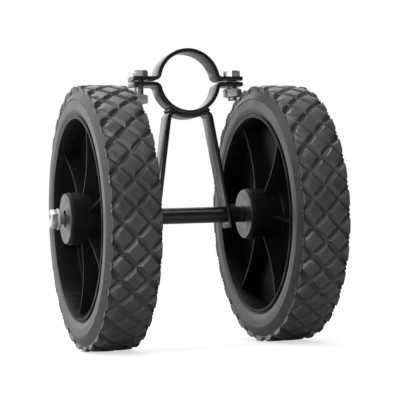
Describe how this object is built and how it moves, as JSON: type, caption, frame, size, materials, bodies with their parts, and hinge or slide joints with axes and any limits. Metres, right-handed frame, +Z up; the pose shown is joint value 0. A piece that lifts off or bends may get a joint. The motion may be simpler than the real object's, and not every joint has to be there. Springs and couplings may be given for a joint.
{
  "type": "clamp-on twin wheel kit",
  "caption": "Bolt-on pipe clamp with a V-shaped leg bracket, a cross axle and free-turning transport wheels, for rolling one end of a tubular stand.",
  "frame": {"origin": "centre of the clamp bore, halfway along the band", "axes": "X along the axle, +Y along the clamped tube, +Z up from the axle to the clamp"},
  "size_m": [0.2252, 0.2032, 0.2319],
  "materials": {
    "black_paint": "semi-gloss black paint over welded steel bar and tube",
    "zinc_plate": "bright zinc plate on bolts, nuts and washers",
    "rim_plastic": "moulded black plastic, fine satin texture",
    "tyre_rubber": "dark grey rubber, dull tread and smoother sidewalls",
    "sleeve_nylon": "natural nylon"
  },
  "bodies": {
    "bracket": {"clamp_lower_half": "black_paint", "leg_bracket": "black_paint", "clamp_weld_beads": "black_paint", "axle_tube": "black_paint", "axle_weld_beads": "black_paint", "axle_bolt": "zinc_plate", "axle_head_washer": "zinc_plate", "axle_nut_washer": "zinc_plate", "axle_lock_nut": "zinc_plate", "left_outer_washer": "zinc_plate", "left_inner_washer": "zinc_plate", "right_inner_washer": "zinc_plate", "right_outer_washer": "zinc_plate"},
    "clamp_cap": {"clamp_upper_half": "black_paint", "clamp_bolt_left": "zinc_plate", "clamp_bolt_right": "zinc_plate", "clamp_nut_left": "zinc_plate", "clamp_nut_right": "zinc_plate"},
    "left_wheel": {"left_rim": "rim_plastic", "left_tyre": "tyre_rubber", "left_hub_sleeve": "sleeve_nylon"},
    "right_wheel": {"right_rim": "rim_plastic", "right_tyre": "tyre_rubber", "right_hub_sleeve": "sleeve_nylon"}
  },
  "joints": [
    {"name": "left_wheel_spin", "type": "hinge", "parent": "bracket", "child": "left_wheel", "pos_m": [-0.0721, 0, -0.1045], "axis": [1, 0, 0], "continuous": true},
    {"name": "right_wheel_spin", "type": "hinge", "parent": "bracket", "child": "right_wheel", "pos_m": [0.0721, 0, -0.1045], "axis": [1, 0, 0], "continuous": true},
    {"name": "clamp_cap_lift", "type": "slide", "parent": "bracket", "child": "clamp_cap", "axis": [0, 0, 1], "range_m": [0, 0.0015]}
  ]
}
